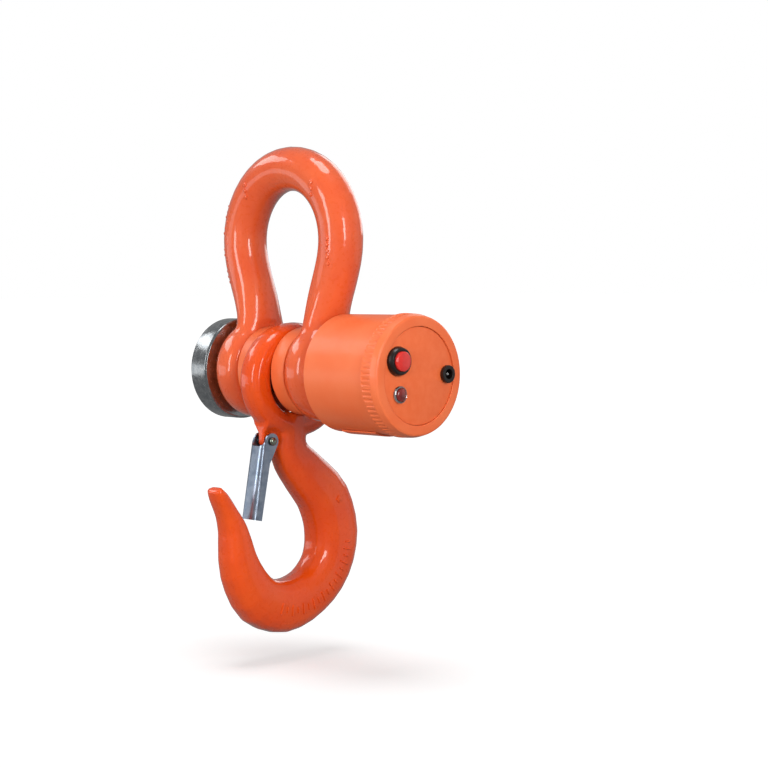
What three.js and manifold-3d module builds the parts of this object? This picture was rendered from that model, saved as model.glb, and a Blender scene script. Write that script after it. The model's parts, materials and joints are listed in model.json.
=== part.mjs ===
// Wireless crane scale: a load-sensing shackle, a forged eye hook and a round electronics housing.
// Millimetres. +X runs along the load pin to the electronics, +Z is up, the hook's tip is towards -Y.
// Every shape is drawn about the pin's centre. The whole scale is then lowered, so that the origin
// is the inside of the bow's crown, where a crane's hook bears.
import * as THREE from 'three';
import { mergeVertices } from 'three/addons/utils/BufferGeometryUtils.js';
import Module from 'manifold-3d';

const wasm = await Module();
wasm.setup();

// ---- driving dimensions ---------------------------------------------------------------------

const GAP = 0.3; // between pieces that touch
const OVERCUT = 5; // how far a cutting shape reaches past what it cuts
const BREAK = 0.6; // small edge chamfer
const ROUND_LARGE = 40; // facets round a large turned piece
const ROUND_SMALL = 20; // facets round a small one
const ROUND_BUTTON = 28; // facets round the panel controls
const ROUND_HOUSING = 52; // facets round the housing, its ring and its face

// Shackle bow
const BAR_R = 16; // round bar of the bow
const BOW_R = 51.7; // centreline radius of the bow's upper half
const BOW_CENTRE_Z = 93.4; // height of that half circle's centre above the pin
const WAIST_X = 35.7; // where the legs are closest to the middle
const WAIST_Z = 30; // height of that waist above the pin
const WAIST_HALF_X = 13; // leg's half thickness at the waist
const WAIST_HALF_Y = 18.5; // leg's half depth at the waist
const LEG_ROOT_HALF_Y = 31; // leg's half depth where it runs into the ear
const LEG_SPLAY = 1.6; // how far the leg leans out again below the waist
const JAW = 50.4; // clear width between the ears
const EAR_THICK = 26.6;
const EAR_R = 35.5;
const EAR_ROUND = 12; // rounding of the ear's outer rim
const EAR_INNER_ROUND = 8.5;
const PAD_WIDE = 6.2; // machined pad round the bore, outside each ear
const PAD_HIGH = 2.1;

// Load pin
const PIN_R = 17.5;
const PIN_FIT = 0.3; // radial clearance in the ears and spacers
const HEAD_R = 37.1;
const HEAD_THICK = 17.9;
const HEAD_EDGE = 1.2;
const HEAD_CENTRE = 1.5; // turning centre left in the head's face
const SPIGOT_R = 12; // threaded end inside the housing
const SPIGOT_LONG = 20;
const SPIGOT_CHAMFER = 1;
const WIRE_BORE_R = 4;
const WIRE_BORE_START = -30;
const CORE_SHORT = 6; // the potting stops this far inside the pin's end
const SHEAR_GROOVE_DEEP = 1.2; // gauge sections between hook and ears
const SHEAR_GROOVE_HALF = 2.5;

// Spacers beside the hook's eye
const SPACER_WIDE = 13.7; // from bore to outside
const SPACER_CHAMFER = 0.8;

// Hook
const EYE_BORE_R = 24.4; // half the height of the eye's opening
const EYE_OVAL = 1.085; // the eye is this much wider than it is high
const EYE_BAR = 17.2; // eye ring's thickness at its top and bottom
const EYE_HALF_X = 11.2; // eye ring's half thickness along the pin
const HOOK_FLAT = 2.6; // section's exponent: 2 is an ellipse, larger is squarer
// Centreline from the eye down and round to the tip: [y, z, half width in the hook's plane],
// with z measured from the eye ring's underside. It starts inside the eye, which is then bored
const HOOK_LINE = [
  [-2, 24, 13], [-6, -4.8, 13.5], [-1, -15.8, 15.5], [10.5, -27.8, 17.5], [28.5, -47.3, 20.5],
  [36, -72.8, 21.2], [30.2, -96.6, 19.6], [12, -114.1, 18.8], [-13.4, -121.4, 19.6], [-35.2, -114.6, 18.4],
  [-51.4, -91.6, 14.6], [-58.3, -61.8, 9.4], [-63.4, -50.1, 6.8], [-70.8, -37.4, 5.2], [-74.4, -31.8, 3.2],
];
const HOOK_THICK_SHARE = 0.55; // a wide section is thick: half thickness = share * width + base
const HOOK_THICK_BASE = 5.5;
const HOOK_THICK_MAX = 15;

// Safety latch
const LATCH_PIVOT_Y = -26.7;
const LATCH_PIVOT_Z = -1.2; // from the eye ring's underside
const LATCH_LEAN = 11.5; // degrees that its web leans towards the tip
const LATCH_HALF_X = 7.85;
const LATCH_SHEET = 1.4;
const LATCH_WEB_BACK = 8.7; // from the pivot forward to the web's outer face
const LATCH_TOP = 4.7; // from the pivot down to the web's upper edge
const LATCH_BOTTOM = 57; // from the pivot down to its lower edge
const LATCH_DEPTH = 9.6; // flange's width
const LATCH_EAR_R = 5.8;
const LATCH_TOE = 3; // corner cut off the web's lower edge
const LATCH_CHEEK_DROP = 16; // from the pivot down to where the cheek is full width
const LATCH_PIN_R = 2;
const LATCH_PIN_HEAD_R = 3;
const LATCH_PIN_DOME = 2; // height of its heads
const LATCH_PIN_FIT = 0.15;
const LUG_R = 4.6; // forged lug that carries the latch pin
const LUG_HALF_X = 3;
const LUG_ROOT_HALF_X = 8; // where it leaves the eye's underside
const LUG_ROOT_HIGH = 4; // height of that wide part
const LUG_REACH = 4; // the lug runs back into the neck as far as this, before the middle
const LUG_RISE = 16;
const LUG_FALL = 14;
const SPRING_WIRE_R = 0.4;
const SPRING_PITCH = 2 * SPRING_WIRE_R + GAP; // from one turn to the next
const LATCH_COIL_R = 3.1;
const BUTTON_COIL_R = 4;

// Housing
const HOUSING_R = 41.2;
const HOUSING_WALL = 7.2;
const HOUSING_LONG = 57.5; // from its back to the shoulder that the union ring meets
const HOUSING_BACK_WALL = 6;
const HOUSING_CHAMFER = 1.5;
const THREAD_DEEP = 4.2; // the threaded mouth is turned this much below the outside
const THREAD_LONG = 7;
const SEAL_WIDE = 5;
const SEAL_THICK = 1;
const PLATE_THICK = 0.9;
const PLATE_INSET = 12.5; // from the housing's back to the plate
const PLATE_LONG = 33;
const PLATE_ARC = 44; // degrees of the housing's round that the plate covers

// Union ring and face plate
const RING_LONG = 14.9; // from the housing's shoulder to the front
const RING_PROUD = 1.1; // stands out from the housing at its back
const RING_TAPER = 1.3; // and is this much smaller at its front
const RING_LIP = 3.4;
const RING_ROUND = 1.4; // rounding of its front edge
const RING_LIP_WIDE = 3.8; // how far the lip reaches in over the face plate
const FACE_RECESS = 0.8; // face plate stands back from the ring's front
const FACE_FLANGE = 2.6;
const GASKET_WIDE = 2.1;

// Panel controls: where each sits on the face (y, z) and its sizes
const BUTTON_ANGLE = 152.4; // degrees round the face from +Y towards +Z
const BUTTON_EDGE = 0.6; // between its bezel and the ring's lip
const BEZEL_BASE_R = 10;
const BEZEL_FRONT_R = 8.8;
const BEZEL_HIGH = 4.6;
const BEZEL_FOOT = 1; // straight part before it tapers
const BEZEL_TAIL_R = 7.7;
const BEZEL_TAIL_LONG = 19;
const CAP_R = 6.7;
const CAP_FIT = 0.25;
const CAP_OUT = 1.2; // rim of the cap above the bezel
const CAP_DOME = 1.6;
const CAP_LONG = 13;
const CAP_TRAVEL = 1.8;
const CAP_SPRING_ROOM = 6; // room for its spring when it is pressed
const LED_ANGLE = 212.5;
const LED_EDGE = 5.4;
const LED_FLANGE_R = 6.1;
const LED_HIGH = 1.8;
const LED_TAIL_R = 3.7;
const LED_TAIL_LONG = 14;
const LENS_R = 4.5;
const LENS_SEAT = 0.4; // the lens sits this far above the bezel's back
const LENS_EDGE = 1;
const LENS_DOME = 1.8;
const SOCKET_ANGLE = 0.6;
const SOCKET_EDGE = 0.6;
const SOCKET_FLANGE_R = 6.1;
const SOCKET_HIGH = 2.6;
const SOCKET_TAIL_R = 4.9;
const SOCKET_TAIL_LONG = 17;
const SOCKET_BORE_R = 3.4;
const SOCKET_BORE_DEEP = 10;
const SOCKET_PIN_R = 1.05;
const SOCKET_PIN_SUNK = 1; // the pin's tip below the socket's rim
const PANEL_NUT = 2.4; // thickness of the nuts behind the face
const PANEL_NUT_WIDE = 1.5; // from bore to outside
const PANEL_FIT = 0.3;

// Inside the housing
const NUT_THICK = 8;
const NUT_ACROSS = 32;
const WASHER_WIDE = 5.7;
const WASHER_THICK = 2;
const BOARD_STAND = 22.9; // from the housing's inner back wall to the board
const BOARD_CLEAR = 3; // between the board's edge and the housing
const BOARD_THICK = 1.6;
const PILLAR_INSET = 4; // from the board's edge to each pillar's centre
const PILLAR_R = 3;
const SCREW_R = 1.2;
const SCREW_HEAD_R = 2.6;
const SCREW_HEAD = 1.8;
const SCREW_LONG = 8;
const CELL_R = 8.2;
const CELL_LONG = 28.5;
const CELL_COUNT = 3;
const TRAY_WALL = 1.2;
const TRAY_HIGH = 12;
const CONNECTOR_SIZE = [5, 6, 8]; // x, y, z
const CONNECTOR_Y = 10; // its near side
const LEAD_R = 1.5;
const LEAD_BEND = 2.5; // how far the lead runs straight at each end
const RADIO_THICK = 2.7;
const RADIO_WIDE = 18;
const RADIO_TALL = 6.8;
const RADIO_CLEAR = 1.5; // between it and the battery tray
const ANTENNA_R = 1.2;
const ANTENNA_CLEAR = 7.3; // between its tip and the face plate

// ---- finishes -------------------------------------------------------------------------------

function finish(color, roughness, metalness) {
  return new THREE.MeshStandardMaterial({ color, roughness, metalness });
}

const FORGING = finish(0xd9481f, 0.28, 0.0);
const SATIN_ORANGE = finish(0xe8693c, 0.5, 0.0);
const ZINC = finish(0x9aa0a8, 0.35, 0.9);
const STEEL = finish(0x8c9096, 0.4, 0.9);
const BLACK_PLASTIC = finish(0x151515, 0.45, 0.0);
const RED_PLASTIC = finish(0xc31f18, 0.25, 0.0);
const RUBBER = finish(0x1c1c1c, 0.8, 0.0);
const CHROME = finish(0xc8ccd2, 0.15, 1.0);
const BOARD_GREEN = finish(0x1f5a34, 0.5, 0.0);
const CELL_SLEEVE = finish(0x2f6fb0, 0.4, 0.0);

// ---- shape helpers --------------------------------------------------------------------------

const radians = THREE.MathUtils.degToRad;

// A closed three.js geometry as a solid, with its faces turned outwards.
function solid(geometry) {
  const bare = geometry.clone();
  bare.deleteAttribute('normal');
  bare.deleteAttribute('uv');
  const merged = mergeVertices(bare, 1e-4);
  const points = merged.attributes.position.array;
  const corners = [];
  const index = merged.index.array;
  for (let i = 0; i < index.length; i += 3) {
    const [a, b, c] = [index[i], index[i + 1], index[i + 2]];
    if (a !== b && b !== c && c !== a) {
      corners.push(a, b, c);
    }
  }
  if (volumeOf(points, corners) < 0) {
    corners.reverse();
  }
  const mesh = new wasm.Mesh({
    numProp: 3,
    vertProperties: new Float32Array(points),
    triVerts: new Uint32Array(corners),
  });
  mesh.merge();
  return new wasm.Manifold(mesh);
}

function volumeOf(points, corners) {
  const at = (i) => new THREE.Vector3(points[3 * i], points[3 * i + 1], points[3 * i + 2]);
  let sum = 0;
  for (let i = 0; i < corners.length; i += 3) {
    sum += at(corners[i]).dot(at(corners[i + 1]).cross(at(corners[i + 2])));
  }
  return sum / 6;
}

function geometryOf(body) {
  const mesh = body.getMesh();
  const geometry = new THREE.BufferGeometry();
  geometry.setAttribute('position', new THREE.BufferAttribute(new Float32Array(mesh.vertProperties), 3));
  geometry.setIndex(new THREE.BufferAttribute(new Uint32Array(mesh.triVerts), 1));
  return geometry;
}

// Turns an outline of [radius, x] points round the pin's axis.
function turned(outline, facets = ROUND_LARGE) {
  const points = outline.map(([radius, x]) => new THREE.Vector2(radius, x));
  return solid(new THREE.LatheGeometry(points, facets).rotateZ(-Math.PI / 2));
}

function cylinder(radius, from, to, facets = ROUND_LARGE) {
  return turned([[0, from], [radius, from], [radius, to], [0, to]], facets);
}

// A ring with its outer edges cut back by a small chamfer.
function collar(inner, outer, from, to, chamfer = 0, facets = ROUND_LARGE) {
  return turned([
    [inner, from], [outer - chamfer, from], [outer, from + chamfer],
    [outer, to - chamfer], [outer - chamfer, to], [inner, to], [inner, from],
  ], facets);
}

// Points on a quarter round from one angle to another, in degrees.
function arc(centreR, centreX, radius, fromAngle, toAngle, steps = 4) {
  const points = [];
  for (let i = 0; i <= steps; i += 1) {
    const angle = radians(fromAngle + ((toAngle - fromAngle) * i) / steps);
    points.push([centreR + radius * Math.cos(angle), centreX + radius * Math.sin(angle)]);
  }
  return points;
}

function box(x, y, z) {
  const size = [x, y, z].map(([low, high]) => high - low);
  const middle = [x, y, z].map(([low, high]) => (high + low) / 2);
  return solid(new THREE.BoxGeometry(...size).translate(...middle));
}

// A prism along X over a closed outline of [y, z] points.
function prism(outline, from, to) {
  const shape = new THREE.Shape(outline.map(([y, z]) => new THREE.Vector2(y, z)));
  const geometry = new THREE.ExtrudeGeometry(shape, { depth: to - from, bevelEnabled: false });
  // Shape x, y and depth become Y, Z and X.
  const turn = new THREE.Matrix4().set(0, 0, 1, from, 1, 0, 0, 0, 0, 1, 0, 0, 0, 0, 0, 1);
  return solid(geometry.applyMatrix4(turn));
}

// A closed skin through rings of points, with a flat fan over each end.
function loft(rings) {
  const count = rings[0].length;
  const points = rings.flat();
  const corners = [];
  for (let ring = 0; ring < rings.length - 1; ring += 1) {
    for (let i = 0; i < count; i += 1) {
      const a = ring * count + i;
      const b = ring * count + ((i + 1) % count);
      corners.push(a, b, b + count, a, b + count, a + count);
    }
  }
  for (const [ring, flip] of [[0, true], [rings.length - 1, false]]) {
    const middle = new THREE.Vector3();
    rings[ring].forEach((point) => middle.add(point));
    points.push(middle.divideScalar(count));
    for (let i = 0; i < count; i += 1) {
      const a = ring * count + i;
      const b = ring * count + ((i + 1) % count);
      corners.push(...(flip ? [b, a, points.length - 1] : [a, b, points.length - 1]));
    }
  }
  return solid(new THREE.BufferGeometry().setFromPoints(points).setIndex(corners));
}

// An oval section: half sizes along two directions, squarer as the exponent rises.
function section(centre, along, alongHalf, across, acrossHalf, exponent, count) {
  const soften = (value) => Math.sign(value) * Math.abs(value) ** (2 / exponent);
  return Array.from({ length: count }, (_, i) => {
    const angle = (2 * Math.PI * i) / count;
    return centre.clone()
      .addScaledVector(along, alongHalf * soften(Math.cos(angle)))
      .addScaledVector(across, acrossHalf * soften(Math.sin(angle)));
  });
}

// A round wire along a curve.
function wire(curve, radius, steps, sides = 8) {
  const shape = new THREE.Shape();
  shape.absarc(0, 0, radius, 0, 2 * Math.PI, false);
  return solid(new THREE.ExtrudeGeometry(shape, {
    steps, curveSegments: sides / 2, bevelEnabled: false, extrudePath: curve,
  }));
}

const scale = new THREE.Group();
scale.position.z = -(BOW_CENTRE_Z + BOW_R - BAR_R);

function add(name, body, material, parent = scale) {
  const mesh = new THREE.Mesh(geometryOf(body), material);
  mesh.name = name;
  parent.add(mesh);
  return mesh;
}

// ---- shackle --------------------------------------------------------------------------------

const EAR_INSIDE = JAW / 2;
const EAR_OUTSIDE = EAR_INSIDE + EAR_THICK;
const PAD_X = EAR_OUTSIDE + PAD_HIGH;
const PIN_BORE_R = PIN_R + PIN_FIT;
const PAD_R = PIN_BORE_R + PAD_WIDE;

// The bow's centreline, from the left ear over the crown to the right ear.
function bowLine() {
  const half = [];
  for (let degrees = 0; degrees <= 90; degrees += 15) {
    const angle = radians(degrees);
    half.push([BOW_R * Math.sin(angle), BOW_CENTRE_Z + BOW_R * Math.cos(angle)]);
  }
  const steps = 5;
  for (let i = 1; i <= steps; i += 1) {
    const share = i / steps;
    const ease = THREE.MathUtils.smoothstep(share, 0, 1);
    half.push([
      THREE.MathUtils.lerp(BOW_R, WAIST_X, ease),
      THREE.MathUtils.lerp(BOW_CENTRE_Z, WAIST_Z, share),
    ]);
  }
  half.push([WAIST_X + LEG_SPLAY / 2, WAIST_Z / 2], [WAIST_X + LEG_SPLAY, 2]);
  const left = half.slice(1).reverse().map(([x, z]) => new THREE.Vector3(-x, 0, z));
  const right = half.map(([x, z]) => new THREE.Vector3(x, 0, z));
  return new THREE.CatmullRomCurve3([...left, ...right], false, 'centripetal');
}

function bowBar() {
  const line = bowLine();
  const stations = 44;
  const rings = [];
  for (let i = 0; i <= stations; i += 1) {
    const point = line.getPointAt(i / stations);
    const tangent = line.getTangentAt(i / stations);
    const across = new THREE.Vector3(-tangent.z, 0, tangent.x);
    const waist = 1 - THREE.MathUtils.smoothstep(point.z, WAIST_Z, BOW_CENTRE_Z * 0.75);
    const root = 1 - THREE.MathUtils.smoothstep(point.z, 4, WAIST_Z + 10);
    const halfX = THREE.MathUtils.lerp(BAR_R, WAIST_HALF_X, waist);
    const halfY = THREE.MathUtils.lerp(BAR_R, WAIST_HALF_Y, waist);
    const flared = THREE.MathUtils.lerp(halfY, LEG_ROOT_HALF_Y, root);
    rings.push(section(point, across, halfX, new THREE.Vector3(0, 1, 0), flared, 2, 20));
  }
  return loft(rings);
}

// An ear for the +X side; the other is its mirror image.
function ear() {
  return turned([
    [0, EAR_INSIDE],
    ...arc(EAR_R - EAR_INNER_ROUND, EAR_INSIDE + EAR_INNER_ROUND, EAR_INNER_ROUND, -90, 0, 3),
    ...arc(EAR_R - EAR_ROUND, EAR_OUTSIDE - EAR_ROUND, EAR_ROUND, 0, 90, 5),
    [PAD_R, EAR_OUTSIDE], [PAD_R, PAD_X], [0, PAD_X],
  ]);
}

function shackleBow() {
  const rightEar = ear();
  const leftEar = rightEar.mirror([1, 0, 0]);
  const bore = cylinder(PIN_BORE_R, -PAD_X - OVERCUT, PAD_X + OVERCUT);
  const jaw = cylinder(LEG_ROOT_HALF_Y + EAR_R, -EAR_INSIDE, EAR_INSIDE).trimByPlane([0, 0, -1], -EAR_R);
  const bar = bowBar();
  return bar.add(rightEar).add(leftEar).subtract(jaw).subtract(bore);
}

add('shackle_bow', shackleBow(), FORGING);

// ---- load pin -------------------------------------------------------------------------------

const HEAD_INSIDE = -(PAD_X + GAP);
const HEAD_OUTSIDE = HEAD_INSIDE - HEAD_THICK;
const PIN_SHOULDER = PAD_X + GAP;
const PIN_END = PIN_SHOULDER + SPIGOT_LONG;

function loadPin() {
  const groove = EAR_INSIDE - SHEAR_GROOVE_HALF;
  const grooveR = PIN_R - SHEAR_GROOVE_DEEP;
  const grooveEdge = (x) => [
    [PIN_R, x - SHEAR_GROOVE_HALF], [grooveR, x - SHEAR_GROOVE_HALF + SHEAR_GROOVE_DEEP],
    [grooveR, x + SHEAR_GROOVE_HALF - SHEAR_GROOVE_DEEP], [PIN_R, x + SHEAR_GROOVE_HALF],
  ];
  const body = turned([
    [0, HEAD_OUTSIDE + HEAD_CENTRE], [HEAD_CENTRE, HEAD_OUTSIDE],
    [HEAD_R - HEAD_EDGE, HEAD_OUTSIDE], [HEAD_R, HEAD_OUTSIDE + HEAD_EDGE],
    [HEAD_R, HEAD_INSIDE - HEAD_EDGE], [HEAD_R - HEAD_EDGE, HEAD_INSIDE], [PIN_R, HEAD_INSIDE],
    ...grooveEdge(-groove), ...grooveEdge(groove),
    [PIN_R, PIN_SHOULDER], [SPIGOT_R, PIN_SHOULDER],
    [SPIGOT_R, PIN_END - SPIGOT_CHAMFER], [SPIGOT_R - SPIGOT_CHAMFER, PIN_END], [0, PIN_END],
  ]);
  return body.subtract(cylinder(WIRE_BORE_R, WIRE_BORE_START, PIN_END + OVERCUT, ROUND_SMALL));
}

const SPACER_INSIDE = EYE_HALF_X + GAP;
const SPACER_OUTSIDE = EAR_INSIDE - GAP;

add('load_pin', loadPin(), ZINC);
for (const [side, mirror] of [['right', 1], ['left', -1]]) {
  const ring = collar(PIN_BORE_R, PIN_BORE_R + SPACER_WIDE, SPACER_INSIDE, SPACER_OUTSIDE, SPACER_CHAMFER);
  add(`spacer_${side}`, mirror < 0 ? ring.mirror([1, 0, 0]) : ring, SATIN_ORANGE);
}
const CORE_END = PIN_END - CORE_SHORT;
add('gauge_core', cylinder(WIRE_BORE_R - GAP, WIRE_BORE_START + GAP, CORE_END, ROUND_SMALL), RUBBER);

// ---- hook -----------------------------------------------------------------------------------

const EYE_DROP = EYE_BORE_R - PIN_R - GAP; // the hook hangs with its bore's top on the pin
const EYE_MID_R = EYE_BORE_R + EYE_BAR / 2;
const EYE_UNDER = -(EYE_DROP + EYE_BORE_R + EYE_BAR);
const PIVOT_Z = EYE_UNDER + LATCH_PIVOT_Z;

// Widens a round shape on the pin's axis to the eye's oval and moves it to the eye's centre.
function toEye(body) {
  return body.scale([1, EYE_OVAL, 1]).translate([0, 0, -EYE_DROP]);
}

function eyeRing() {
  const outline = [];
  const count = 12;
  for (let i = 0; i <= count; i += 1) {
    const angle = (2 * Math.PI * i) / count;
    const soften = (value) => Math.sign(value) * Math.abs(value) ** (2 / HOOK_FLAT);
    outline.push([
      EYE_MID_R + (EYE_BAR / 2) * soften(Math.cos(angle)),
      EYE_HALF_X * soften(Math.sin(angle)),
    ]);
  }
  return toEye(turned(outline));
}

function hookShank() {
  const points = HOOK_LINE.map(([y, z]) => new THREE.Vector3(0, y, EYE_UNDER + z));
  const line = new THREE.CatmullRomCurve3(points, false, 'centripetal');
  const perSpan = 3;
  const spans = HOOK_LINE.length - 1;
  const rings = [];
  for (let i = 0; i <= spans * perSpan; i += 1) {
    const share = i / (spans * perSpan);
    const span = Math.min(Math.floor(i / perSpan), spans - 1);
    const ease = i / perSpan - span;
    const width = THREE.MathUtils.lerp(HOOK_LINE[span][2], HOOK_LINE[span + 1][2], ease);
    const neck = 1 - THREE.MathUtils.smoothstep(share, 0.05, 0.3);
    const full = Math.min(HOOK_THICK_MAX, HOOK_THICK_SHARE * width + HOOK_THICK_BASE);
    const thick = THREE.MathUtils.lerp(full, EYE_HALF_X, neck);
    const point = line.getPoint(share);
    const tangent = line.getTangent(share);
    const across = new THREE.Vector3(0, -tangent.z, tangent.y);
    rings.push(section(point, across, width, new THREE.Vector3(1, 0, 0), thick, HOOK_FLAT, 18));
  }
  return loft(rings);
}

// The lug comes straight down from the eye's underside and is round about the latch pin.
// It is wide where it leaves the eye, and narrows above the latch's cheeks.
function latchLug() {
  const front = LATCH_PIVOT_Y - LUG_R;
  const top = PIVOT_Z + LUG_RISE;
  const outline = arc(LATCH_PIVOT_Y, PIVOT_Z, LUG_R, 180, 290, 6);
  outline.push([-LUG_REACH, PIVOT_Z - LUG_FALL], [-LUG_REACH, top], [front, top]);
  const slab = (halfX, from) => box([-halfX, halfX], [front, -LUG_REACH], [from, top]);
  const wide = slab(LUG_ROOT_HALF_X, top - LUG_ROOT_HIGH);
  const narrow = slab(LUG_HALF_X, PIVOT_Z + LATCH_EAR_R);
  return prism(outline, -LUG_HALF_X, LUG_HALF_X).add(wasm.Manifold.hull([wide, narrow]));
}

function atPivot(body) {
  return body.translate([0, LATCH_PIVOT_Y, PIVOT_Z]);
}

// Drawn at the origin; it goes through the lug and both of the latch's cheeks.
function latchPinHole() {
  const reach = LATCH_HALF_X + OVERCUT;
  return cylinder(LATCH_PIN_R + LATCH_PIN_FIT, -reach, reach, ROUND_SMALL);
}

function hookForging() {
  const bore = toEye(cylinder(EYE_BORE_R, -EYE_BORE_R, EYE_BORE_R));
  const pinHole = atPivot(latchPinHole());
  return eyeRing().add(hookShank().add(latchLug()).subtract(bore)).subtract(pinHole);
}

add('hook', hookForging(), FORGING);

// ---- safety latch ---------------------------------------------------------------------------

// Drawn with its pivot at the origin and its web upright, then leant and moved to the pivot.
function latchChannel() {
  const front = -LATCH_WEB_BACK;
  const back = front + LATCH_DEPTH;
  const cheek = [];
  for (const point of arc(0, 0, LATCH_EAR_R, -10, 170, 10)) {
    cheek.push(point);
  }
  cheek.push([front, -LATCH_TOP], [front, -LATCH_BOTTOM + LATCH_TOE], [front + LATCH_TOE, -LATCH_BOTTOM]);
  cheek.push([back, -LATCH_BOTTOM], [back, -LATCH_CHEEK_DROP]);
  const outer = prism(cheek, -LATCH_HALF_X, LATCH_HALF_X);
  const inside = LATCH_HALF_X - LATCH_SHEET;
  const past = LATCH_EAR_R + OVERCUT;
  const hollow = box([-inside, inside], [front + LATCH_SHEET, past], [-LATCH_BOTTOM - OVERCUT, past]);
  const aboveWeb = box([-inside, inside], [front - OVERCUT, past], [-LATCH_TOP, past]);
  return outer.subtract(hollow).subtract(aboveWeb).subtract(latchPinHole());
}

function latchPin() {
  const shoulder = LATCH_HALF_X + GAP;
  const head = (sign) => [
    [LATCH_PIN_R, sign * shoulder], [LATCH_PIN_HEAD_R, sign * shoulder],
    [LATCH_PIN_HEAD_R * 0.8, sign * (shoulder + LATCH_PIN_DOME * 0.6)],
    [LATCH_PIN_HEAD_R * 0.4, sign * (shoulder + LATCH_PIN_DOME * 0.9)],
    [0, sign * (shoulder + LATCH_PIN_DOME)],
  ];
  return turned([...head(-1).reverse(), ...head(1)], ROUND_SMALL);
}

// A coil of spring wire round the X axis that fits between two faces, a gap clear of each.
class CoilLine extends THREE.Curve {
  constructor(radius, fromX, toX) {
    super();
    this.radius = radius;
    this.start = fromX + GAP + SPRING_WIRE_R;
    this.end = toX - GAP - SPRING_WIRE_R;
    this.turns = (this.end - this.start) / SPRING_PITCH;
  }

  getPoint(share, target = new THREE.Vector3()) {
    const angle = 2 * Math.PI * this.turns * share;
    const x = THREE.MathUtils.lerp(this.start, this.end, share);
    return target.set(x, this.radius * Math.cos(angle), this.radius * Math.sin(angle));
  }
}

function coil(radius, fromX, toX) {
  const line = new CoilLine(radius, fromX, toX);
  return wire(line, SPRING_WIRE_R, Math.ceil(line.turns * 14), 6);
}

const latchGroup = new THREE.Group();
latchGroup.position.set(0, LATCH_PIVOT_Y, PIVOT_Z);
latchGroup.rotation.x = -radians(LATCH_LEAN);
scale.add(latchGroup);
add('latch', latchChannel(), ZINC, latchGroup);
add('latch_pin', atPivot(latchPin()), ZINC);
// A torsion spring on the pin, between the lug and the latch's far cheek
add('latch_spring', atPivot(coil(LATCH_COIL_R, LATCH_SHEET - LATCH_HALF_X, -LUG_HALF_X)), STEEL);

// ---- housing --------------------------------------------------------------------------------

const HOUSING_BACK_X = PAD_X + SEAL_THICK + 2 * GAP;
const HOUSING_SHOULDER_X = HOUSING_BACK_X + HOUSING_LONG;
const HOUSING_BORE_R = HOUSING_R - HOUSING_WALL;
const THREAD_R = HOUSING_R - THREAD_DEEP;
const PLATE_START = HOUSING_BACK_X + PLATE_INSET;
const HOUSING_FLOOR = HOUSING_BACK_X + HOUSING_BACK_WALL;
const HOUSING_MOUTH = HOUSING_SHOULDER_X + THREAD_LONG;
const SPIGOT_BORE_R = SPIGOT_R + GAP;

// Moves a shape drawn upright at the top of the housing to its underside.
const toUnderside = (body) => body.rotate([180, 0, 0]);

function housing() {
  return turned([
    [SPIGOT_BORE_R, HOUSING_BACK_X], [HOUSING_R - HOUSING_CHAMFER, HOUSING_BACK_X],
    [HOUSING_R, HOUSING_BACK_X + HOUSING_CHAMFER],
    [HOUSING_R, HOUSING_SHOULDER_X], [THREAD_R, HOUSING_SHOULDER_X], [THREAD_R, HOUSING_MOUTH],
    [HOUSING_BORE_R, HOUSING_MOUTH], [HOUSING_BORE_R, HOUSING_FLOOR],
    [SPIGOT_BORE_R, HOUSING_FLOOR], [SPIGOT_BORE_R, HOUSING_BACK_X],
  ], ROUND_HOUSING);
}

// A blank plate curved to the housing's underside.
function ratingPlate() {
  const inner = HOUSING_R + GAP;
  const outline = [];
  const half = PLATE_ARC / 2;
  outline.push(...arc(0, 0, inner, 90 - half, 90 + half, 12));
  outline.push(...arc(0, 0, inner + PLATE_THICK, 90 + half, 90 - half, 12));
  return toUnderside(prism(outline, PLATE_START, PLATE_START + PLATE_LONG));
}

add('housing', housing(), SATIN_ORANGE);
add('housing_seal', collar(PAD_R - SEAL_WIDE, PAD_R, PAD_X + GAP, HOUSING_BACK_X - GAP), RUBBER);
add('rating_plate', ratingPlate(), SATIN_ORANGE);

// ---- union ring and face --------------------------------------------------------------------

const FRONT_X = HOUSING_SHOULDER_X + RING_LONG;
const RING_BACK_R = HOUSING_R + RING_PROUD;
const RING_FRONT_R = RING_BACK_R - RING_TAPER;
const RING_LIP_R = THREAD_R + GAP - RING_LIP_WIDE;
const LIP_BACK = FRONT_X - RING_LIP;
const FLANGE_FRONT = LIP_BACK - GAP;
const FLANGE_BACK = FLANGE_FRONT - FACE_FLANGE;
const FACE_X = FRONT_X - FACE_RECESS;
const FLANGE_R = THREAD_R - GAP;

function unionRing() {
  const inner = THREAD_R + GAP;
  const back = HOUSING_SHOULDER_X + GAP;
  return turned([
    [inner, back], [RING_BACK_R - BREAK, back], [RING_BACK_R, back + BREAK],
    ...arc(RING_FRONT_R - RING_ROUND, FRONT_X - RING_ROUND, RING_ROUND, 0, 90, 4),
    [RING_LIP_R, FRONT_X], [RING_LIP_R, LIP_BACK], [inner, LIP_BACK], [inner, back],
  ], ROUND_HOUSING);
}

// Where a control sits: at an angle round the face, with its flange an edge's width inside the lip
// and the nut on its tail clear of the housing.
function controlSpot(degrees, edge, flangeRadius, tailRadius) {
  const nutRadius = tailRadius + GAP + PANEL_NUT_WIDE;
  const out = Math.min(RING_LIP_R - edge - flangeRadius, HOUSING_BORE_R - GAP - nutRadius);
  return [0, out * Math.cos(radians(degrees)), out * Math.sin(radians(degrees))];
}

const BUTTON_SPOT = controlSpot(BUTTON_ANGLE, BUTTON_EDGE, BEZEL_BASE_R, BEZEL_TAIL_R);
const LED_SPOT = controlSpot(LED_ANGLE, LED_EDGE, LED_FLANGE_R, LED_TAIL_R);
const SOCKET_SPOT = controlSpot(SOCKET_ANGLE, SOCKET_EDGE, SOCKET_FLANGE_R, SOCKET_TAIL_R);

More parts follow.
